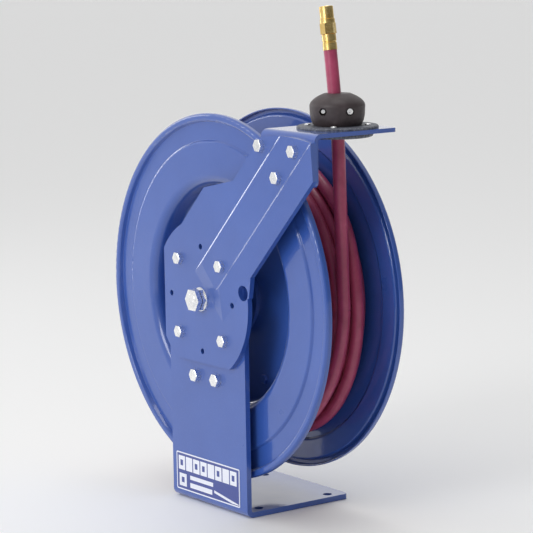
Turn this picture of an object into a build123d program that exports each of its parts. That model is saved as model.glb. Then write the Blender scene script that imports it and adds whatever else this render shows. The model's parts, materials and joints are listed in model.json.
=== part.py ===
"""Spring-rewind hose reel on a single pedestal.

Row frame: X across the reel, Y along its axle, Z up. The origin is the centre of the
base's four mounting holes, on the floor. The pedestal's outer face is at y = FACE.
"""

from build123d import *
import math
import os

os.makedirs("parts", exist_ok=True)

# Driving dimensions, in millimetres
PLATE = 6.35                # pedestal plate thickness
WIDTH = 152.4               # pedestal width
DEPTH = 149.0               # base depth
HOLE_X = 127.0              # base hole spacing across
HOLE_Y = 101.6              # base hole spacing along the axle
BASE_HOLE_R = 5.5
FACE = -76.2                # outer face of the pedestal
PEDESTAL_TOP = 326.0
AXLE_Z = 250.0
DISC_R = 216.0              # 17 in disc
SHEET = 2.0                 # disc sheet
WELL_R = 133.0              # well wall, sheet centre
NEAR = FACE + 17.0          # near disc's inner annulus
FAR = FACE + 120.0          # far disc's inner annulus
FLOOR_NEAR = FACE + 46.0    # well floors, sheet centre
FLOOR_FAR = FACE + 91.0
HOSE_R = 7.5                # 3/8 in hose, 15 mm outside
PACK_R = 175.5              # outside of the wound hose's last layer
HOSE_X = 168.0              # the hose leaves the winding straight up here
HOSE_Y = FACE + 68.0        # middle of the hose guide
LANE_Y = FACE + 74.0        # where the hose leaves the winding
LAST_TURN = (FACE + 83.2, FACE + 99.5)  # the last layer's full turn
TABLE_TOP = 457.0
TABLE_T = 4.8
ARM_T = 6.0
RAISED = 3.0                # the guide arm's raised band
BEAD = 0.9                  # height of the crease along the band's right edge
HUB_R = 93.0                # round end of the guide arm
BOLT_CIRCLE_R = 62.0
AXLE_R = 12.7               # 1 in shaft
RUN = 0.05                  # radial running clearance
BOLT_R = 4.0                # M8
STUD_R = 8.0                # axle's threaded end
NECK_R = 13.0               # guide bushing's neck through the table
GUIDE_BORE_R = 9.6
SCREW_RING = 34.0           # guide screws
CASE_BOLT_RING = 108.0
HUB_BOLT_RING = 36.0
BUSH_R = 16.0               # bearing bushes, outside
RATCHET_Y = FACE + 11.0
RATCHET_T = 5.0
PAWL_Y = RATCHET_Y
PAWL_T = 5.0
RISER_Y = FACE + 105.0
RISER_R = 6.0
HUB_END = FACE + 124.0
STEM_R = 9.0
INLET_R = 7.9               # 3/8 pipe thread, minor radius
INLET_LENGTH = 12.0

AXIS = Axis((0, 0, AXLE_Z), (0, 1, 0))
TURNING = Plane(origin=(0, 0, AXLE_Z), x_dir=(0, 1, 0), z_dir=(1, 0, 0))
# The direction of the guide arm, 45 degrees up and outwards
DIAGONAL = math.sqrt(0.5)


def upright(y, z=AXLE_Z):
    """Sketch plane facing -Y: local x is X and local y is Z, from the axle's height."""
    return Plane(origin=(0, y, z), x_dir=(1, 0, 0), z_dir=(0, -1, 0))


def arm_point(along, left):
    """A point of the guide arm, along its 45 degree axis and to the left of it."""
    return ((along - left) * DIAGONAL, (along + left) * DIAGONAL)


def save(builder, name):
    builder.part.label = name
    export_step(builder.part, f"parts/{name}.step")


def turned(name, outline):
    """A ring turned about the axle, from an outline of (y, radius) points."""
    with BuildPart() as ring:
        with BuildSketch(TURNING):
            with BuildLine():
                Polyline(*outline, close=True)
            make_face()
        revolve(axis=AXIS)
    return ring


def bolts(name, places, y_head, length, head_across=13.0, head=6.0, radius=BOLT_R):
    """Hex bolts whose heads face -Y with their undersides at y_head."""
    with BuildPart() as group:
        with BuildSketch(upright(y_head)):
            with Locations(*places):
                RegularPolygon(head_across / 2, 6, major_radius=False)
        extrude(amount=head)
        chamfer(group.faces().sort_by(Axis.Y)[: len(places)].edges(), 0.7)
        with BuildSketch(upright(y_head)):
            with Locations(*places):
                Circle(radius)
        extrude(amount=-length)
    save(group, name)


def nuts(name, places, y, across=13.0, thick=5.0, bore=BOLT_R + RUN):
    """Hex nuts whose faces nearest the pedestal's outside are at y."""
    with BuildPart() as group:
        with BuildSketch(upright(y)):
            with Locations(*places):
                RegularPolygon(across / 2, 6, major_radius=False)
                Circle(bore, mode=Mode.SUBTRACT)
        extrude(amount=-thick)
    save(group, name)


def far_bolts(name, places, y_head):
    """Hex bolts on the far side, heads facing +Y with their undersides at y_head."""
    length = 11.0
    with BuildPart() as group:
        with BuildSketch(upright(y_head)):
            with Locations(*places):
                RegularPolygon(5, 6, major_radius=False)
        extrude(amount=-4)
        chamfer(group.faces().sort_by(Axis.Y)[-len(places):].edges(), 0.6)
        with BuildSketch(upright(y_head)):
            with Locations(*places):
                Circle(3.0)
        extrude(amount=length)
    save(group, name)


def ring_places(radius, count, start=0.0):
    turns = [math.radians(start + 360 * i / count) for i in range(count)]
    return [(radius * math.cos(t), radius * math.sin(t)) for t in turns]


# ---- Frame -------------------------------------------------------------------

ARM_BOLTS = ring_places(BOLT_CIRCLE_R, 4, 45)
TOP_BOLTS = [arm_point(220.5, 47.0), arm_point(265.0, 0.0), arm_point(220.5, 0.0)]
LOW_BOLTS = [(-21.0, -94.0), (21.0, -94.0)]


def pedestal():
    """Plate bent to an L, with rounded corners and a large outer bend."""
    bend = 9.0
    with BuildPart() as body:
        with BuildSketch(Plane.YZ.offset(-WIDTH / 2)):
            with BuildLine():
                FilletPolyline(
                    (FACE, PEDESTAL_TOP), (FACE, 0), (FACE + DEPTH, 0), radius=bend
                )
                Line((FACE + DEPTH, 0), (FACE + DEPTH, PLATE))
                FilletPolyline(
                    (FACE + DEPTH, PLATE), (FACE + PLATE, PLATE), (FACE + PLATE, PEDESTAL_TOP),
                    radius=bend - PLATE,
                )
                Line((FACE + PLATE, PEDESTAL_TOP), (FACE, PEDESTAL_TOP))
            make_face()
        extrude(amount=WIDTH)
        fillet(body.edges().filter_by(Axis.Y).group_by(Axis.Z)[-1], 24)
        fillet(body.edges().filter_by(Axis.Z).group_by(Axis.Y)[-1], 6)
        with BuildSketch(Plane.XY):
            with GridLocations(HOLE_X, HOLE_Y, 2, 2):
                Circle(BASE_HOLE_R)
        extrude(amount=PLATE, mode=Mode.SUBTRACT)
        with BuildSketch(upright(FACE)):
            with Locations(*ARM_BOLTS, *LOW_BOLTS):
                Circle(BOLT_R + RUN)
            with Locations(*ring_places(BOLT_CIRCLE_R, 4)):
                Circle(3.4)
            Circle(STUD_R + RUN)
        extrude(amount=-PLATE, mode=Mode.SUBTRACT)
    save(body, "pedestal")


def guide_arm():
    """Stamped arm: a round end over the axle and a 45 degree limb with a raised band."""
    band_left, band_right, edge_right = 28.0, -15.0, -44.0
    band_end, ramp = 14.5, 27.0
    bead_width = 2.2
    top, crown, edge_x = 198.5, 202.5, 218.5
    front = ARM_T + RAISED
    clear = front + 9
    left_x = top - 54 / DIAGONAL
    across = Plane(
        origin=(0, FACE, AXLE_Z), x_dir=(-1, 0, 1), z_dir=(1, 0, 1)
    )
    with BuildPart() as body:
        with BuildSketch(upright(FACE)):
            Circle(HUB_R)
            with Locations((-WIDTH / 2, -WIDTH / 2)):
                Rectangle(200, 200, align=(Align.MIN, Align.MIN), mode=Mode.INTERSECT)
            with BuildLine():
                Polyline(
                    (0, 0), arm_point(30, 87), arm_point(100, 87), arm_point(151, 54),
                    (left_x, top),
                )
                ThreePointArc((left_x, top), (168, crown), (edge_x, top))
                Polyline(
                    (edge_x, top), (edge_x, edge_x + edge_right / DIAGONAL),
                    arm_point(96, edge_right), (HUB_R + 2, 12), (0, 0),
                )
            make_face()
            with Locations((84, 17)):
                Circle(9, mode=Mode.SUBTRACT)
        extrude(amount=front)
        with BuildSketch(across.offset(band_end)):
            with BuildLine():
                FilletPolyline(
                    (220, ARM_T), (band_left + 3, ARM_T), (band_left, front - BEAD),
                    (band_right + bead_width, front - BEAD), (band_right, front),
                    (edge_right - 2, ARM_T), (-150, ARM_T), (-150, clear), (220, clear),
                    close=True, radius=[0.3, 1, 2, 0.8, 1.2, 0.3, 0.3, 0.3, 0.3],
                )
            make_face()
        extrude(amount=330, mode=Mode.SUBTRACT)
        with BuildSketch(Plane(origin=(0, FACE, AXLE_Z), x_dir=(1, 0, 1), z_dir=(1, 0, -1))):
            with BuildLine():
                Polyline(
                    (-160, ARM_T), (band_end, ARM_T), (band_end + ramp, front),
                    (band_end + ramp, clear), (-160, clear), close=True,
                )
            make_face()
        extrude(amount=200, both=True, mode=Mode.SUBTRACT)
        with BuildSketch(upright(FACE)):
            with Locations(*ARM_BOLTS, *TOP_BOLTS):
                Circle(BOLT_R + RUN)
            with Locations(*ring_places(BOLT_CIRCLE_R, 4)):
                Circle(3.4)
            Circle(STUD_R + RUN)
        extrude(amount=front, mode=Mode.SUBTRACT)
    save(body, "guide_arm")


def guide_table():
    """L bracket behind the arm's top: its flat leg carries the hose guide."""
    bend = 8.0
    left, right = 116.0, 214.5
    reach = 116.0
    leg_bottom = 398.0
    with BuildPart() as body:
        with BuildSketch(Plane.YZ.offset(left)):
            with BuildLine():
                FilletPolyline(
                    (FACE, leg_bottom), (FACE, TABLE_TOP), (FACE + reach, TABLE_TOP), radius=bend
                )
                Line((FACE + reach, TABLE_TOP), (FACE + reach, TABLE_TOP - TABLE_T))
                FilletPolyline(
                    (FACE + reach, TABLE_TOP - TABLE_T), (FACE + TABLE_T, TABLE_TOP - TABLE_T),
                    (FACE + TABLE_T, leg_bottom), radius=bend - TABLE_T,
                )
                Line((FACE + TABLE_T, leg_bottom), (FACE, leg_bottom))
            make_face()
        extrude(amount=right - left)
        fillet(body.edges().filter_by(Axis.Z).group_by(Axis.Y)[-1], 5)
        fillet(body.edges().filter_by(Axis.Y).group_by(Axis.Z)[0], 8)
        with BuildSketch(Plane.XY.offset(TABLE_TOP)):
            with Locations((HOSE_X, HOSE_Y)):
                Circle(NECK_R + 0.2)
                with PolarLocations(SCREW_RING, 4, 45):
                    Circle(2.2)
        extrude(amount=-TABLE_T, mode=Mode.SUBTRACT)
        with BuildSketch(upright(FACE)):
            with Locations(*TOP_BOLTS):
                Circle(BOLT_R + RUN)
        extrude(amount=-TABLE_T, mode=Mode.SUBTRACT)
    save(body, "guide_table")


def guide_bushings():
    """Two flanges around the hose, one on the table and one under it."""
    thick, lower_thick = 3.0, 5.0
    centre = Plane(origin=(HOSE_X, HOSE_Y, TABLE_TOP))
    with BuildPart() as upper:
        with BuildSketch(centre):
            Circle(46)
            with PolarLocations(SCREW_RING, 4, 45):
                Circle(2.2, mode=Mode.SUBTRACT)
        extrude(amount=thick)
        outer_edges = upper.edges().filter_by(GeomType.CIRCLE).sort_by(SortBy.RADIUS)[-2:]
        chamfer(outer_edges.sort_by(Axis.Z)[-1], 1.2)
        with BuildSketch(centre):
            Circle(NECK_R)
        extrude(amount=-TABLE_T - lower_thick)
        with BuildSketch(centre.offset(thick)):
            Circle(GUIDE_BORE_R)
        extrude(amount=-TABLE_T - lower_thick - thick, mode=Mode.SUBTRACT)
    save(upper, "guide_bushing_upper")
    with BuildPart() as lower:
        with BuildSketch(centre.offset(-TABLE_T)):
            Circle(40)
            Circle(NECK_R + 0.1, mode=Mode.SUBTRACT)
            with PolarLocations(SCREW_RING, 4, 45):
                Circle(1.95, mode=Mode.SUBTRACT)
        extrude(amount=-lower_thick)
        outer_edges = lower.edges().filter_by(GeomType.CIRCLE).sort_by(SortBy.RADIUS)[-2:]
        fillet(outer_edges.sort_by(Axis.Z)[0], 2.5)
    save(lower, "guide_bushing_lower")
    with BuildPart() as screws:
        with BuildSketch(centre.offset(thick)):
            with PolarLocations(SCREW_RING, 4, 45):
                Circle(3.5)
        extrude(amount=1.6)
        chamfer(screws.faces().sort_by(Axis.Z)[-4:].edges(), 0.6)
        with BuildSketch(centre.offset(thick)):
            with PolarLocations(SCREW_RING, 4, 45):
                Circle(1.9)
        extrude(amount=-TABLE_T - lower_thick - thick)
    save(screws, "guide_screws")


def axle():
    """Fixed shaft: a threaded stud through the pedestal, a shoulder and a plain journal."""
    turned_points = [
        (FACE - 21, 0), (FACE - 21, STUD_R - 1), (FACE - 20, STUD_R), (FACE + PLATE, STUD_R),
        (FACE + PLATE, AXLE_R), (FACE + 92.5, AXLE_R), (FACE + 93.5, AXLE_R - 1), (FACE + 93.5, 0),
    ]
    save(turned("axle", turned_points), "axle")
    save(
        turned("arbor", [
            (FACE + 54, AXLE_R + RUN), (FACE + 54, 18), (FACE + 79, 18), (FACE + 79, AXLE_R + RUN),
        ]),
        "spring_arbor",
    )
    save(
        turned("washer", [
            (FACE - 8, STUD_R + 0.2), (FACE - 8, 14), (FACE - ARM_T, 14), (FACE - ARM_T, STUD_R + 0.2),
        ]),
        "axle_washer",
    )
    nuts("axle_nut", [(0, 0)], FACE - 13, across=24, thick=5, bore=STUD_R + RUN)
    nuts("axle_jam_nut", [(0, 0)], FACE - 20, across=24, thick=6, bore=STUD_R + RUN)


def low_bolts():
    """Pawl pivot and spring post: shoulder bolts through the pedestal."""
    bolts("pawl_pivot", [LOW_BOLTS[1]], FACE, PAWL_Y + PAWL_T - FACE + 4, 14, 7)
    bolts("spring_post", [LOW_BOLTS[0]], FACE, PAWL_Y + PAWL_T - FACE, 14, 7)
    nuts("pawl_nut", [LOW_BOLTS[1]], PAWL_Y + PAWL_T + 0.4, thick=3.4)
    with BuildPart() as spacer:
        with BuildSketch(upright(FACE + PLATE)):
            with Locations(LOW_BOLTS[1]):
                Circle(7)
                Circle(BOLT_R + RUN, mode=Mode.SUBTRACT)
        extrude(amount=FACE + PLATE - PAWL_Y + 0.4)
    save(spacer, "pawl_spacer")


def label():
    """Thin rectangular plate low on the pedestal's face."""
    with BuildPart() as body:
        with BuildSketch(upright(FACE, 0)):
            with Locations((-3, 33)):
                RectangleRounded(130, 46, 2)
        extrude(amount=0.5)
    save(body, "label_plate")


# ---- Hose --------------------------------------------------------------------

HOSE_FOOT = (HOSE_X, LANE_Y, AXLE_Z)
HOSE_BEND = (HOSE_X, HOSE_Y, 463.0)
HOSE_END = (156.5, HOSE_Y, 543.0)
HOSE_DIR = tuple(b - a for a, b in zip(HOSE_BEND, HOSE_END))


def hose_run():
    """The straight stretch from the winding, through the guide, to the brass end."""
    bend_r = 500.0
    with BuildPart() as tube:
        with BuildLine() as path:
            FilletPolyline(HOSE_FOOT, HOSE_BEND, HOSE_END, radius=bend_r)
        with BuildSketch(Plane(origin=HOSE_FOOT, z_dir=path.wires()[0] % 0)):
            Circle(HOSE_R)
        sweep(path=path.wires()[0])
    print("hose run volume", round(tube.part.volume), "expected",
          round(math.pi * HOSE_R**2 * path.wires()[0].length))
    save(tube, "hose_run")
    return tube


def hose_stop(tube):
    """Two clamped halves of a rounded stop that rests on the guide."""
    facing = -40.0
    seat = Plane(origin=(HOSE_X, HOSE_Y, TABLE_TOP + 3)).rotated((0, 0, facing))
    profile = Plane(origin=seat.origin, x_dir=seat.x_dir, z_dir=seat.y_dir * -1)
    side = Plane(origin=seat.origin, x_dir=seat.y_dir, z_dir=seat.x_dir)
    with BuildPart() as ball:
        with BuildSketch(profile):
            with BuildLine():
                Line((0, 0), (26.5, 0))
                Spline((26.5, 0), (28.3, 3), (31.2, 22), tangents=[(0.8, 1), (0.05, 1)])
                Spline((31.2, 22), (28.5, 27.5), (15, 35.5), tangents=[(-0.1, 1), (-1, 0.4)])
                Polyline((15, 35.5), (0, 35.5), (0, 0))
            make_face()
        revolve(axis=Axis(seat.origin, (0, 0, 1)))
        add(tube.part, mode=Mode.SUBTRACT)
    for name, sign in (("hose_stop_front", 1), ("hose_stop_back", -1)):
        with BuildPart() as half:
            add(ball.part)
            with BuildSketch(side.offset(-sign * 40)):
                Rectangle(90, 90)
            extrude(amount=sign * 40.5, mode=Mode.SUBTRACT)
            with BuildSketch(side.offset(sign * 21)):
                with Locations((sign * 15, 17)):
                    Circle(4.6)
            extrude(amount=sign * 15, mode=Mode.SUBTRACT)
            with BuildSketch(side.offset(-40)):
                with Locations((15, 17), (-15, 17)):
                    Circle(2.4)
            extrude(amount=80, mode=Mode.SUBTRACT)
            with BuildSketch(side.offset(sign * 19)):
                with Locations((-sign * 15, 17)):
                    RegularPolygon(4, 6, major_radius=False)
            extrude(amount=sign * 17, mode=Mode.SUBTRACT)
        save(half, name)
    with BuildPart() as screws:
        for sign in (1, -1):
            with BuildSketch(side.offset(sign * 21)):
                with Locations((sign * 15, 17)):
                    Circle(3.2)
                    RegularPolygon(1.6, 6, mode=Mode.SUBTRACT)
            extrude(amount=sign * 3)
            with BuildSketch(side.offset(sign * 21.5)):
                with Locations((sign * 15, 17)):
                    Circle(2.2)
            extrude(amount=-sign * 43)
    save(screws, "stop_screws")


def hose_fitting():
    """Brass hose end: crimped ferrule, hexagon, collar and plain coupling tip."""
    start = Plane(origin=HOSE_END, z_dir=HOSE_DIR)
    outline = [
        (0, 0), (8.1, 0), (8.1, 8), (7.4, 8.6), (7.4, 9.4), (8.1, 10), (8.1, 17.4), (7.2, 18),
        (7.2, 30), (8.6, 30), (8.6, 34.5), (7.9, 35), (7.9, 48.5), (7.4, 49), (5.2, 49),
        (5.2, 20), (0, 20),
    ]
    with BuildPart() as fitting:
        with BuildSketch(Plane(origin=start.origin, x_dir=start.x_dir, z_dir=start.y_dir * -1)):
            with BuildLine():
                Polyline(*outline, close=True)
            make_face()
        revolve(axis=Axis(start.origin, start.z_dir))
        with BuildSketch(start.offset(18)):
            RegularPolygon(7.9, 6, major_radius=False)
            Circle(6.5, mode=Mode.SUBTRACT)
        extrude(amount=12)
    save(fitting, "hose_fitting")


# ---- Reel --------------------------------------------------------------------

def disc(name, floor, face, away):
    """Stamped disc: well floor, wall, stepped annulus and rolled rim.

    away is the direction from the winding to the disc's outside, -1 or 1.
    """
    rim = DISC_R - SHEET / 2
    ring = face - 2.5 * away
    roll = face + 3.5 * away
    with BuildPart() as body:
        with BuildSketch(TURNING):
            with BuildLine():
                FilletPolyline(
                    (floor, 25), (floor, WELL_R), (face, WELL_R), (face, 182),
                    (ring, 184.5), (ring, 206.5), (roll, 208.8), (roll, rim - 1.5),
                    (roll - 2 * away, rim), (ring, rim),
                    radius=[8, 11, 2, 2, 1.6, 1.6, 1.4, 1.4],
                )
                offset(amount=SHEET / 2)
            make_face()
        revolve(axis=AXIS)
        with BuildSketch(upright(floor - 2)):
            with Locations(*ring_places(CASE_BOLT_RING, 6)):
                Circle(3.1)
            with Locations(*ring_places(HUB_BOLT_RING, 4, 45)):
                Circle(3.1)
        extrude(amount=-4, mode=Mode.SUBTRACT)
        if away > 0:
            with BuildSketch(Plane(origin=(0, RISER_Y, AXLE_Z))):
                Circle(RISER_R + 0.3)
            extrude(amount=WELL_R + 9, mode=Mode.SUBTRACT)
    save(body, name)


def spring_case():
    """Drum between the wells: a cup, its cover and the coiled mainspring."""
    start, end = FLOOR_NEAR + SHEET / 2, FLOOR_FAR - SHEET / 2
    wall = 3.0
    outer = WELL_R + SHEET / 2
    with BuildPart() as cup:
        with BuildSketch(upright(start)):
            Circle(outer)
        extrude(amount=-(end - start - wall))
        with BuildSketch(upright(start + wall)):
            Circle(outer - wall)
        extrude(amount=-(end - start), mode=Mode.SUBTRACT)
        with BuildSketch(upright(start)):
            Circle(24)
            with Locations(*ring_places(CASE_BOLT_RING, 6), *ring_places(HUB_BOLT_RING, 4, 45)):
                Circle(3.05)
        extrude(amount=-wall, mode=Mode.SUBTRACT)
    save(cup, "spring_case")
    with BuildPart() as cover:
        with BuildSketch(upright(end - wall)):
            Circle(outer)
            Circle(22.2, mode=Mode.SUBTRACT)
            with Locations(*ring_places(CASE_BOLT_RING, 6), *ring_places(HUB_BOLT_RING, 4, 45)):
                Circle(3.05, mode=Mode.SUBTRACT)
        extrude(amount=-wall)
    save(cover, "spring_cover")


def mainspring():
    """Flat strip coiled in the case, its outer turns together and its inner turns open."""
    strip = 1.2
    steps = 16
    packed_turns, open_turns = 9, 3
    outer, packed, inner = 127.0, 72.0, 26.0
    points = []
    for i in range((packed_turns + open_turns) * steps + 1):
        turn = i / steps
        if turn <= packed_turns:
            r = outer + (packed - outer) * turn / packed_turns
        else:
            r = packed + (inner - packed) * (turn - packed_turns) / open_turns
        points.append((r, 2 * math.pi * turn))
    outside = [(r * math.cos(t), r * math.sin(t)) for r, t in points]
    inside = [((r - strip) * math.cos(t), (r - strip) * math.sin(t)) for r, t in reversed(points)]
    with BuildPart() as body:
        with BuildSketch(upright(FACE + 58)):
            with BuildLine():
                Polyline(*outside, *inside, close=True)
            make_face()
        extrude(amount=-22)
    save(body, "mainspring")


def hubs():
    """Flanged hubs with bearing bushes; the far one is also the fluid block."""
    near_flange = FLOOR_NEAR - SHEET / 2
    far_flange = FLOOR_FAR + SHEET / 2
    near_start = RATCHET_Y
    with BuildPart() as near:
        with BuildSketch(TURNING):
            with BuildLine():
                Polyline(
                    (near_start, BUSH_R), (near_start, 20), (near_start + RATCHET_T, 20),
                    (near_start + RATCHET_T, 23.5), (near_flange - 5, 23.5), (near_flange - 5, 46),
                    (near_flange, 46), (near_flange, 23.5), (near_flange + 4, 23.5),
                    (near_flange + 4, BUSH_R), close=True,
                )
            make_face()
        revolve(axis=AXIS)
        with BuildSketch(upright(near_flange)):
            with Locations(*ring_places(HUB_BOLT_RING, 4, 45)):
                Circle(3.05)
        extrude(amount=5, mode=Mode.SUBTRACT)
    save(near, "near_hub")
    with BuildPart() as far:
        with BuildSketch(TURNING):
            with BuildLine():
                Polyline(
                    (far_flange - 10, BUSH_R), (far_flange - 10, 22), (far_flange, 22),
                    (far_flange, 46), (far_flange + 5, 46), (far_flange + 5, 20),
                    (HUB_END, 20), (HUB_END, STEM_R + RUN), (HUB_END - 14, STEM_R + RUN),
                    (HUB_END - 14, 5), (far_flange + 5, 5), (far_flange + 5, 0),
                    (far_flange + 3, 0), (far_flange + 3, BUSH_R), close=True,
                )
            make_face()
        revolve(axis=AXIS)
        with BuildSketch(upright(far_flange)):
            with Locations(*ring_places(HUB_BOLT_RING, 4, 45)):
                Circle(3.05)
        extrude(amount=-5, mode=Mode.SUBTRACT)
        with BuildSketch(Plane(origin=(0, RISER_Y, AXLE_Z))):
            Circle(RISER_R + RUN)
        extrude(amount=25, mode=Mode.SUBTRACT)
    save(far, "far_hub")
    for name, start, end in (
        ("near_bearing", near_start, near_flange + 4),
        ("far_bearing", far_flange - 10, far_flange + 1),
    ):
        points = [(start, AXLE_R + RUN), (start, BUSH_R), (end, BUSH_R), (end, AXLE_R + RUN)]
        save(turned(name, points), name)


def ratchet_wheel():
    """Saw-toothed wheel on the near hub."""
    teeth = 12
    tip, root = 70.0, 64.0
    outline = []
    for i in range(teeth):
        start = -112.5 + 360 * i / teeth
        for radius, angle in ((tip, start), (root, start + 3.0)):
            turn = math.radians(angle)
            outline.append((radius * math.cos(turn), radius * math.sin(turn)))
    with BuildPart() as wheel:
        with BuildSketch(upright(RATCHET_Y)):
            with BuildLine():
                Polyline(*outline, close=True)
            make_face()
            Circle(20 + RUN, mode=Mode.SUBTRACT)
            with Locations(*ring_places(42, 4)):
                Circle(11, mode=Mode.SUBTRACT)
        extrude(amount=-RATCHET_T)
    save(wheel, "ratchet_wheel")


def pawl():
    """Lever on the pivot bolt, its tip in a tooth gap."""
    px, pz = LOW_BOLTS[1]
    tip = (-20.0, -63.9)
    with BuildPart() as body:
        with BuildSketch(upright(PAWL_Y)):
            with Locations((px, pz)):
                Circle(8)
            with BuildLine():
                Polyline(tip, (px, pz), (px - 6.4, pz - 5.0), (tip[0] + 2, tip[1] - 6), close=True)
            make_face()
            with Locations((px, pz)):
                Circle(BOLT_R + RUN, mode=Mode.SUBTRACT)
        extrude(amount=-PAWL_T)
    save(body, "pawl")


def pawl_spring():
    """Wire spring: a coil round the post and a leg under the pawl."""
    wire = 1.0
    x, z = LOW_BOLTS[0]
    with BuildPart() as body:
        for i in range(3):
            with BuildSketch(Plane(origin=(x + 6, PAWL_Y + 1.2 + 1.9 * i, AXLE_Z + z))):
                Circle(wire)
            revolve(axis=Axis((x, 0, AXLE_Z + z), (0, 1, 0)))
        with BuildSketch(Plane(origin=(x + 6, PAWL_Y + 3.1, AXLE_Z + z))):
            Circle(wire)
        extrude(amount=17.5)
    save(body, "pawl_spring")


def riser():
    """Pipe from the fluid block out through the well wall to the hose's inner end."""
    with BuildPart() as pipe:
        with BuildSketch(Plane(origin=(0, RISER_Y, AXLE_Z + 12))):
            Circle(RISER_R)
            Circle(4, mode=Mode.SUBTRACT)
        extrude(amount=WELL_R - 12)
        with BuildSketch(Plane(origin=(0, RISER_Y, AXLE_Z + 20))):
            RegularPolygon(7.5, 6, major_radius=False)
            Circle(4, mode=Mode.SUBTRACT)
        extrude(amount=9)
    save(pipe, "riser_pipe")


def swivel():
    """Elbow that the supply line screws into; it turns freely on the fluid block."""
    with BuildPart() as gland:
        with BuildSketch(upright(HUB_END)):
            RegularPolygon(17, 6, major_radius=False)
            Circle(STEM_R + 0.4, mode=Mode.SUBTRACT)
        extrude(amount=-6)
    save(gland, "gland_nut")
    start, bore = HUB_END + 7, 5.0
    branch = start + 13
    outwards = Plane(origin=(0, branch, AXLE_Z), x_dir=(0, 1, 0), z_dir=(-1, 0, 0))
    with BuildPart() as elbow:
        with BuildSketch(upright(HUB_END - 13)):
            Circle(STEM_R)
        extrude(amount=-(start - HUB_END + 15))
        with BuildSketch(upright(start)):
            Circle(13.5)
        extrude(amount=-26)
        fillet(elbow.edges().filter_by(GeomType.CIRCLE).sort_by(Axis.Y)[-1], 4)
        with BuildSketch(outwards):
            Circle(12)
        extrude(amount=24)
        with BuildSketch(outwards.offset(24)):
            RegularPolygon(14, 6, major_radius=False)
        extrude(amount=12)
        with BuildSketch(outwards.offset(36)):
            Circle(INLET_R)
        extrude(amount=-INLET_LENGTH, mode=Mode.SUBTRACT)
        with BuildSketch(outwards.offset(36)):
            Circle(bore)
        extrude(amount=-36, mode=Mode.SUBTRACT)
        with BuildSketch(upright(HUB_END - 13)):
            Circle(bore)
        extrude(amount=-(branch - HUB_END + 13), mode=Mode.SUBTRACT)
    save(elbow, "swivel_elbow")


def winding():
    """The wound hose as one ring between the discs, clear of their rounded wells.

    The last layer has one full turn. Beside it the ring stays under the hose that leaves.
    """
    near, far = NEAR + SHEET / 2 + 0.5, FAR - SHEET / 2 - 0.5
    inner = WELL_R + SHEET / 2 + 0.2
    second = HOSE_X - HOSE_R - 0.3
    flare, edge = 13.0, 5.0
    points = [
        (near, inner + flare), (near, second - edge), (near + edge, second),
        (LAST_TURN[0], second), (LAST_TURN[0], PACK_R - edge), (LAST_TURN[0] + edge, PACK_R),
        (LAST_TURN[1] - edge, PACK_R), (LAST_TURN[1], PACK_R - edge), (LAST_TURN[1], second),
        (far - edge, second), (far, second - edge), (far, inner + flare), (far - flare, inner),
        (near + flare, inner),
    ]
    save(turned("winding", points), "hose_winding")


def main():
    pedestal()
    guide_arm()
    guide_table()
    guide_bushings()
    axle()
    bolts("arm_bolts", ARM_BOLTS[1:], FACE - ARM_T, ARM_T + PLATE)
    band_top = ARM_T + RAISED - BEAD
    bolts("arm_band_bolt", ARM_BOLTS[:1], FACE - band_top, band_top + PLATE)
    bolts("table_bolt", TOP_BOLTS[:1], FACE - ARM_T, ARM_T + TABLE_T + 4)
    bolts("table_band_bolts", TOP_BOLTS[1:], FACE - band_top, band_top + TABLE_T + 4)
    nuts("table_nuts", TOP_BOLTS, FACE + TABLE_T, thick=4.5)
    low_bolts()
    label()
    tube = hose_run()
    hose_stop(tube)
    hose_fitting()
    disc("near_disc", FLOOR_NEAR, NEAR, -1)
    disc("far_disc", FLOOR_FAR, FAR, 1)
    spring_case()
    mainspring()
    hubs()
    ratchet_wheel()
    pawl()
    pawl_spring()
    riser()
    swivel()
    case_ring = ring_places(CASE_BOLT_RING, 6)
    hub_ring = ring_places(HUB_BOLT_RING, 4, 45)
    bolts("near_case_bolts", case_ring, FLOOR_NEAR - SHEET / 2, 9, 10, 4, 3.0)
    bolts("near_hub_bolts", hub_ring, FLOOR_NEAR - SHEET / 2 - 5, 11, 10, 4, 3.0)
    far_bolts("far_case_bolts", case_ring, FLOOR_FAR + SHEET / 2)
    far_bolts("far_hub_bolts", hub_ring, FLOOR_FAR + SHEET / 2 + 5)
    winding()


main()
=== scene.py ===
"""Looks of the spring-rewind hose reel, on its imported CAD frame. Metres, row frame, +Z up."""
import bpy
import json
import math
import random
from mathutils import Matrix, Vector


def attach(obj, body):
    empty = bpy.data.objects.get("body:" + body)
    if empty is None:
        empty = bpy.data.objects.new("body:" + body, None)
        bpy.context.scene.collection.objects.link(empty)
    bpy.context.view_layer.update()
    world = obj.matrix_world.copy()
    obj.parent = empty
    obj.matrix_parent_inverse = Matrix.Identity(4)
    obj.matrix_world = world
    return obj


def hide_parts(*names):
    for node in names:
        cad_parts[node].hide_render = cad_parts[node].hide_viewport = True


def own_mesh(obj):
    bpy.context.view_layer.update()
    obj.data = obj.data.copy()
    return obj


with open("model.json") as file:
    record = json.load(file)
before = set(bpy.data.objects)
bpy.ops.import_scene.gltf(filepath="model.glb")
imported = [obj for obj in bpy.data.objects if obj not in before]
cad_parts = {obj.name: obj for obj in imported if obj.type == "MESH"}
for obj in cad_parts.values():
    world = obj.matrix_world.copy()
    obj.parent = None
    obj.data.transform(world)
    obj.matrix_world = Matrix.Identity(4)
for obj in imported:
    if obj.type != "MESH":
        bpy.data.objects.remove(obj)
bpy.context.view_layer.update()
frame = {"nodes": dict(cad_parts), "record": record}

FACE = -0.0762          # pedestal's outer face
AXLE_Z = 0.25
HOSE_D = 0.015
HOSE_X = 0.168          # where the hose leaves the winding, at the axle's height
FIRST_TURN = 0.25       # the wound hose starts at the top of the drum
LAST_TURN = 13.0
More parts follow.
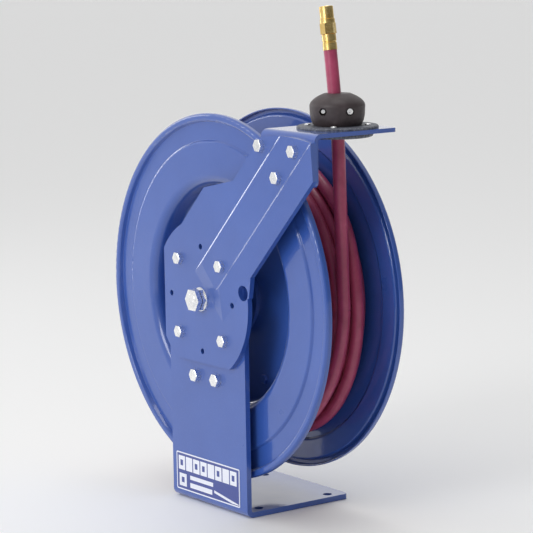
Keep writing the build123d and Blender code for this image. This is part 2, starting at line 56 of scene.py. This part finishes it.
LEAD_START = (HOSE_X, -0.0022, AXLE_Z)


# ---- Camera ------------------------------------------------------------------

def make_camera():
    place = Vector((2.2503, -1.6278, 0.7087))
    target = Vector((0.025946, -0.0062, 0.28353))
    roll = -0.0172
    forward = (target - place).normalized()
    right = forward.cross(Vector((0, 0, 1))).normalized()
    up = right.cross(forward)
    x_axis = math.cos(roll) * right + math.sin(roll) * up
    y_axis = -math.sin(roll) * right + math.cos(roll) * up
    data = bpy.data.cameras.new("camera")
    data.lens = 159.87
    data.sensor_width = 36
    data.clip_end = 50
    camera = bpy.data.objects.new("camera", data)
    bpy.context.collection.objects.link(camera)
    turn = Matrix((x_axis, y_axis, -forward)).transposed().to_4x4()
    camera.matrix_world = Matrix.Translation(place) @ turn
    bpy.context.scene.camera = camera


make_camera()


# ---- Hose --------------------------------------------------------------------

def hose_curve(name, points):
    data = bpy.data.curves.new(name, "CURVE")
    data.dimensions = "3D"
    data.bevel_depth = 1.0
    data.bevel_resolution = 8
    data.resolution_u = 6
    data.use_fill_caps = True
    spline = data.splines.new("NURBS")
    spline.points.add(len(points) - 1)
    for point, place in zip(spline.points, points):
        point.co = (*place, 1)
        point.radius = HOSE_D / 2
    spline.order_u = 3
    spline.use_endpoint_u = True
    hose = bpy.data.objects.new(name, data)
    bpy.context.collection.objects.link(hose)
    return hose


def along(table, turn):
    """The value at a turn, eased between (turn, value) pairs."""
    for (t0, v0), (t1, v1) in zip(table, table[1:]):
        if turn <= t1:
            share = (turn - t0) / (t1 - t0)
            share = share * share * (3 - 2 * share)
            return v0 + (v1 - v0) * share
    return table[-1][1]


def winding_tables():
    """Where the hose lies along the drum and how far out, turn by turn.

    Turns count from angle 0, where the hose leaves. It starts at the top, a quarter turn in,
    and changes lanes at the back left.
    """
    shift, quick = 0.38, 0.14
    lanes = [0.0985, 0.0825, 0.0665, 0.0505, 0.0345]
    lanes += [0.027, 0.0425, 0.058, 0.0746, 0.090, 0.1055]
    along_drum = [(FIRST_TURN, 0.1045), (0.4, lanes[0])]
    for i in range(1, len(lanes)):
        along_drum += [(i + shift, lanes[i - 1]), (i + shift + quick, lanes[i])]
    along_drum += [
        (11.62, 0.1055), (11.85, 0.103), (11.93, 0.0955), (12.02, 0.0915), (12.09, 0.0985),
        (12.40, 0.0985), (12.66, 0.083), (12.90, 0.0722), (12.97, 0.0722), (LAST_TURN, 0.074),
    ]
    inner, middle, outer = 0.1417, 0.1547, HOSE_X
    out = [(FIRST_TURN, inner), (5 + shift, inner), (5 + shift + quick, middle)]
    out += [(11.56, middle), (11.72, outer), (LAST_TURN, outer)]
    return along_drum, out


def winding_points():
    per_turn = 16
    tiny = 1e-6
    settled_from = 12.6     # from here the hose lies straight, without wobble
    step = 1 / per_turn
    overshoot = 1 / math.cos(math.pi * step)
    along_drum, out = winding_tables()
    wobble = random.Random(7)
    points = []
    turn = FIRST_TURN
    while turn < LAST_TURN + tiny:
        last = turn > LAST_TURN - tiny
        first = turn < FIRST_TURN + tiny
        radius = along(out, turn)
        if not (first or last):
            radius *= overshoot
        loose = 0.0 if turn > settled_from or first else wobble.uniform(-0.0004, 0.0004)
        angle = 2 * math.pi * turn
        y = FACE + along(along_drum, turn) + loose
        points.append((radius * math.cos(angle), y, AXLE_Z + radius * math.sin(angle)))
        turn += step / 2 if first or LAST_TURN - turn < 0.75 * step else step
    return points


winding = hose_curve("hose_turns", winding_points())

run = hose_curve("hose_lead", [
    LEAD_START, (HOSE_X, -0.0059, 0.3822), (HOSE_X, -0.0082, 0.463), (0.1565, -0.0082, 0.543),
])

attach(winding, "reel")
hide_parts("hose_winding")
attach(run, "frame")
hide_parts("hose_run")

nodes = frame["nodes"]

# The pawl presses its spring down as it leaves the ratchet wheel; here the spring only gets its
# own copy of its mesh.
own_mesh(nodes["pawl_spring"])


# ---- Materials ---------------------------------------------------------------

class Look:
    """A material with its shader and short ways to add nodes to it."""

    def __init__(self, name, colour, roughness, metallic=0.0, coat=0.0, coat_roughness=0.03):
        self.material = bpy.data.materials.new(name)
        self.material.use_nodes = True
        self.tree = self.material.node_tree
        self.shader = self.tree.nodes["Principled BSDF"]
        self.shader.inputs["Base Color"].default_value = (*colour, 1)
        self.shader.inputs["Roughness"].default_value = roughness
        self.shader.inputs["Metallic"].default_value = metallic
        self.shader.inputs["Coat Weight"].default_value = coat
        self.shader.inputs["Coat Roughness"].default_value = coat_roughness
        self.place = self.add("ShaderNodeTexCoord").outputs["Object"]

    def add(self, kind, **inputs):
        node = self.tree.nodes.new(kind)
        for name, value in inputs.items():
            self.give(node.inputs[name.replace("_", " ")], value)
        return node

    def give(self, socket, value):
        if isinstance(value, bpy.types.NodeSocket):
            self.tree.links.new(value, socket)
        else:
            socket.default_value = value

    def noise(self, scale, detail=3.0, roughness=0.55, stretch=(1, 1, 1)):
        mapped = self.add("ShaderNodeMapping", Vector=self.place, Scale=stretch)
        node = self.add(
            "ShaderNodeTexNoise", Vector=mapped.outputs[0], Scale=scale, Detail=detail,
            Roughness=roughness,
        )
        return node.outputs["Fac"]

    def ramp(self, value, *stops):
        """Colour stops as (position, colour)."""
        node = self.add("ShaderNodeValToRGB", Fac=value)
        elements = node.color_ramp.elements
        for i, (position, colour) in enumerate(stops):
            element = elements[i] if i < 2 else elements.new(position)
            element.position = position
            element.color = (*colour, 1)
        return node.outputs["Color"]

    def span(self, value, low, high):
        """0 to 1 turned into low to high."""
        node = self.add("ShaderNodeMapRange", Value=value)
        node.inputs["To Min"].default_value = low
        node.inputs["To Max"].default_value = high
        return node.outputs["Result"]

    def math(self, operation, a, b, c=None):
        node = self.tree.nodes.new("ShaderNodeMath")
        node.operation = operation
        for socket, value in zip(node.inputs, (a, b, c)):
            if value is not None:
                self.give(socket, value)
        return node.outputs[0]

    def mix(self, share, a, b):
        node = self.tree.nodes.new("ShaderNodeMix")
        node.data_type = "RGBA"
        self.give(node.inputs["Factor"], share)
        for name, value in (("A", a), ("B", b)):
            socket = [s for s in node.inputs if s.name == name and s.type == "RGBA"][0]
            self.give(socket, value if isinstance(value, bpy.types.NodeSocket) else (*value, 1))
        return [s for s in node.outputs if s.type == "RGBA"][0]

    def bump(self, height, distance, strength=1.0, coat=False):
        node = self.add("ShaderNodeBump", Height=height)
        node.inputs["Distance"].default_value = distance
        node.inputs["Strength"].default_value = strength
        self.give(self.shader.inputs["Normal"], node.outputs[0])
        if coat:
            self.give(self.shader.inputs["Coat Normal"], node.outputs[0])

    def colour(self, value):
        self.give(self.shader.inputs["Base Color"], value)

    def roughness(self, value):
        self.give(self.shader.inputs["Roughness"], value)


def blue_paint():
    look = Look("blue_paint", (0.04, 0.10, 0.36), 0.3, coat=1.0)
    mottle = look.noise(9, detail=4)
    base = look.ramp(
        mottle, (0.3, (0.033, 0.090, 0.370)), (0.7, (0.043, 0.110, 0.425)),
    )
    look.shader.inputs["Specular IOR Level"].default_value = 0.3
    specks = look.math("GREATER_THAN", look.noise(900, detail=0), 0.76)
    look.colour(look.mix(look.math("MULTIPLY", specks, 0.3), base, (0.09, 0.17, 0.52)))
    look.roughness(look.span(look.noise(40, detail=5), 0.24, 0.36))
    look.bump(look.noise(220, detail=1.5), 0.0004, 0.14, coat=True)
    return look.material


def hose_rubber():
    look = Look("hose_rubber", (0.25, 0.028, 0.065), 0.42)
    bloom = look.noise(60, detail=5, roughness=0.6)
    base = look.ramp(
        bloom, (0.3, (0.33, 0.041, 0.100)), (0.62, (0.42, 0.061, 0.138)),
        (0.8, (0.47, 0.105, 0.180)),
    )
    scuffs = look.math("GREATER_THAN", look.noise(420, detail=2), 0.70)
    look.colour(look.mix(look.math("MULTIPLY", scuffs, 0.22), base, (0.42, 0.14, 0.18)))
    look.roughness(look.span(look.noise(90, detail=4), 0.24, 0.40))
    look.bump(look.noise(700, detail=3), 0.0003, 0.22)
    return look.material


def zinc():
    look = Look("zinc", (0.78, 0.79, 0.80), 0.25, metallic=1.0)
    look.colour(look.ramp(
        look.noise(120, detail=4), (0.3, (0.80, 0.81, 0.84)), (0.7, (0.97, 0.97, 0.96)),
    ))
    look.roughness(look.span(look.noise(260, detail=4), 0.18, 0.36))
    look.bump(look.noise(900, detail=3), 0.0002, 0.35)
    return look.material


def brass():
    look = Look("brass", (0.86, 0.62, 0.22), 0.2, metallic=1.0)
    look.colour(look.ramp(
        look.noise(80, detail=4), (0.3, (0.80, 0.55, 0.17)), (0.7, (0.93, 0.72, 0.32)),
    ))
    look.roughness(look.span(look.noise(200, detail=4), 0.12, 0.28))
    turning = look.noise(60, detail=2, stretch=(1, 1, 40))
    look.bump(turning, 0.0003, 0.25)
    return look.material


def stop_rubber():
    look = Look("stop_rubber", (0.030, 0.027, 0.028), 0.5)
    look.colour(look.ramp(
        look.noise(70, detail=5), (0.3, (0.034, 0.024, 0.026)), (0.75, (0.066, 0.049, 0.052)),
    ))
    look.roughness(look.span(look.noise(110, detail=3), 0.40, 0.60))
    look.bump(look.noise(800, detail=4), 0.0004, 0.4)
    return look.material


def guide_polymer():
    look = Look("guide_polymer", (0.20, 0.21, 0.24), 0.5)
    grain = look.noise(380, detail=4, roughness=0.7)
    look.colour(look.ramp(
        grain, (0.36, (0.05, 0.055, 0.075)), (0.52, (0.10, 0.11, 0.14)),
        (0.70, (0.24, 0.25, 0.29)),
    ))
    look.roughness(look.span(look.noise(150, detail=2), 0.4, 0.65))
    look.bump(grain, 0.0005, 0.4)
    return look.material


def steel():
    look = Look("steel", (0.42, 0.43, 0.45), 0.35, metallic=1.0)
    look.colour(look.ramp(
        look.noise(50, detail=5), (0.3, (0.30, 0.31, 0.33)), (0.7, (0.50, 0.50, 0.51)),
    ))
    look.roughness(look.span(look.noise(180, detail=4, stretch=(1, 12, 1)), 0.26, 0.48))
    look.bump(look.noise(500, detail=3, stretch=(1, 12, 1)), 0.0002, 0.4)
    return look.material


def spring_steel():
    look = Look("spring_steel", (0.16, 0.17, 0.20), 0.3, metallic=1.0)
    look.colour(look.ramp(
        look.noise(45, detail=5), (0.3, (0.10, 0.11, 0.15)), (0.7, (0.22, 0.21, 0.21)),
    ))
    look.roughness(look.span(look.noise(220, detail=3), 0.2, 0.4))
    look.bump(look.noise(700, detail=2), 0.0002, 0.3)
    return look.material


def bronze():
    look = Look("bronze", (0.48, 0.30, 0.14), 0.4, metallic=1.0)
    look.colour(look.ramp(
        look.noise(400, detail=5), (0.35, (0.34, 0.20, 0.09)), (0.65, (0.55, 0.36, 0.18)),
    ))
    look.roughness(look.span(look.noise(300, detail=3), 0.3, 0.55))
    look.bump(look.noise(1200, detail=3), 0.0002, 0.5)
    return look.material


def label():
    """A plain generic pattern of blocks and bars, with no lettering."""
    look = Look("label", (0.80, 0.83, 0.92), 0.35, coat=0.5, coat_roughness=0.08)
    parts = look.add("ShaderNodeSeparateXYZ", Vector=look.place)
    x, z = parts.outputs["X"], parts.outputs["Z"]

    def block(x0, x1, z0, z1):
        wide = look.math("COMPARE", x, (x0 + x1) / 2, (x1 - x0) / 2)
        tall = look.math("COMPARE", z, (z0 + z1) / 2, (z1 - z0) / 2)
        return look.math("MULTIPLY", wide, tall)

    def joined(values):
        total = values[0]
        for value in values[1:]:
            total = look.math("MAXIMUM", total, value)
        return total

    field = block(-0.0665, 0.0605, 0.0115, 0.0545)
    pitch = 0.0152
    heading = [block(-0.0635 + pitch * i, -0.0502 + pitch * i, 0.0345, 0.0515)
               for i in range(8)]
    windows = [block(-0.0600 + pitch * i, -0.0545 + pitch * i, 0.0395, 0.0465)
               for i in (0, 2, 3, 5, 7)]
    badge = look.math("SUBTRACT", block(-0.0625, -0.0475, 0.0145, 0.0300),
                      block(-0.0580, -0.0520, 0.0190, 0.0255))
    bars = [block(-0.040, 0.008, 0.0250, 0.0300), block(-0.040, 0.006, 0.0150, 0.0210)]
    lean = look.math("ADD", z, look.math("MULTIPLY", x, 0.16))
    sweep = look.math("MULTIPLY", look.math("COMPARE", lean, 0.0215, 0.0016),
                      block(0.010, 0.0595, 0.0125, 0.0540))
    marks = look.math("SUBTRACT", joined(heading), joined(windows))
    print_white = joined([marks, badge, *bars, sweep])
    ink = look.mix(look.noise(300, detail=3), (0.030, 0.050, 0.26), (0.045, 0.075, 0.32))
    film = look.mix(look.noise(200, detail=2), (0.78, 0.81, 0.90), (0.84, 0.86, 0.94))
    printed = look.math("MULTIPLY", field, look.math("SUBTRACT", 1.0, print_white))
    look.colour(look.mix(printed, film, ink))
    look.bump(look.noise(400, detail=2), 0.0002, 0.3)
    return look.material


LOOKS = {
    make.__name__: make() for make in (
        blue_paint, hose_rubber, zinc, brass, stop_rubber, guide_polymer, steel, spring_steel,
        bronze, label,
    )
}


def paint(obj, look):
    obj.data.materials.clear()
    obj.data.materials.append(LOOKS[look])


for part in frame["record"]["subparts"]:
    if part["node"] not in ("hose_winding", "hose_run"):
        paint(nodes[part["node"]], part["material_slot"])
paint(winding, "hose_rubber")
paint(run, "hose_rubber")


# ---- Studio ------------------------------------------------------------------

def studio_floor():
    mesh = bpy.data.meshes.new("floor")
    half = 30.0
    mesh.from_pydata(
        [(-half, -half, 0), (half, -half, 0), (half, half, 0), (-half, half, 0)], [],
        [(0, 1, 2, 3)],
    )
    floor = bpy.data.objects.new("floor", mesh)
    bpy.context.collection.objects.link(floor)
    look = Look("floor", (0.94, 0.94, 0.94), 0.6)
    floor.data.materials.append(look.material)
    floor.location.z = -0.0005


def area_light(name, place, target, size, power):
    data = bpy.data.lights.new(name, "AREA")
    data.shape = "RECTANGLE"
    data.size, data.size_y = size
    data.energy = power
    lamp = bpy.data.objects.new(name, data)
    bpy.context.collection.objects.link(lamp)
    lamp.location = place
    lamp.rotation_euler = (Vector(target) - Vector(place)).to_track_quat("-Z", "Y").to_euler()


def studio_light():
    """A soft surround, bright at the front left and above and dim at the right and behind."""
    world = bpy.data.worlds.new("studio")
    bpy.context.scene.world = world
    world.use_nodes = True
    tree = world.node_tree
    background = tree.nodes["Background"]
    background.inputs["Color"].default_value = (1, 1, 1, 1)
    place = tree.nodes.new("ShaderNodeTexCoord")
    towards = tree.nodes.new("ShaderNodeVectorMath")
    towards.operation = "DOT_PRODUCT"
    towards.inputs[1].default_value = Vector((-0.85, -0.30, 0.43)).normalized()
    tree.links.new(place.outputs["Generated"], towards.inputs[0])
    level = tree.nodes.new("ShaderNodeMapRange")
    level.interpolation_type = "SMOOTHSTEP"
    tree.links.new(towards.outputs["Value"], level.inputs["Value"])
    level.inputs["From Min"].default_value = -0.7
    level.inputs["From Max"].default_value = 0.6
    level.inputs["To Min"].default_value = 0.16
    level.inputs["To Max"].default_value = 0.92
    tree.links.new(level.outputs["Result"], background.inputs["Strength"])
    area_light("key", (0.6, -3.2, 1.7), (0, 0, 0.28), (1.4, 1.4), 36)
    area_light("left", (-2.4, -0.7, 0.5), (0, 0, 0.3), (0.22, 1.6), 7)
    area_light("top", (0.1, 0.1, 2.4), (0, 0, 0.2), (1.0, 0.7), 6)


studio_floor()
studio_light()
bpy.context.scene.view_settings.view_transform = "Standard"
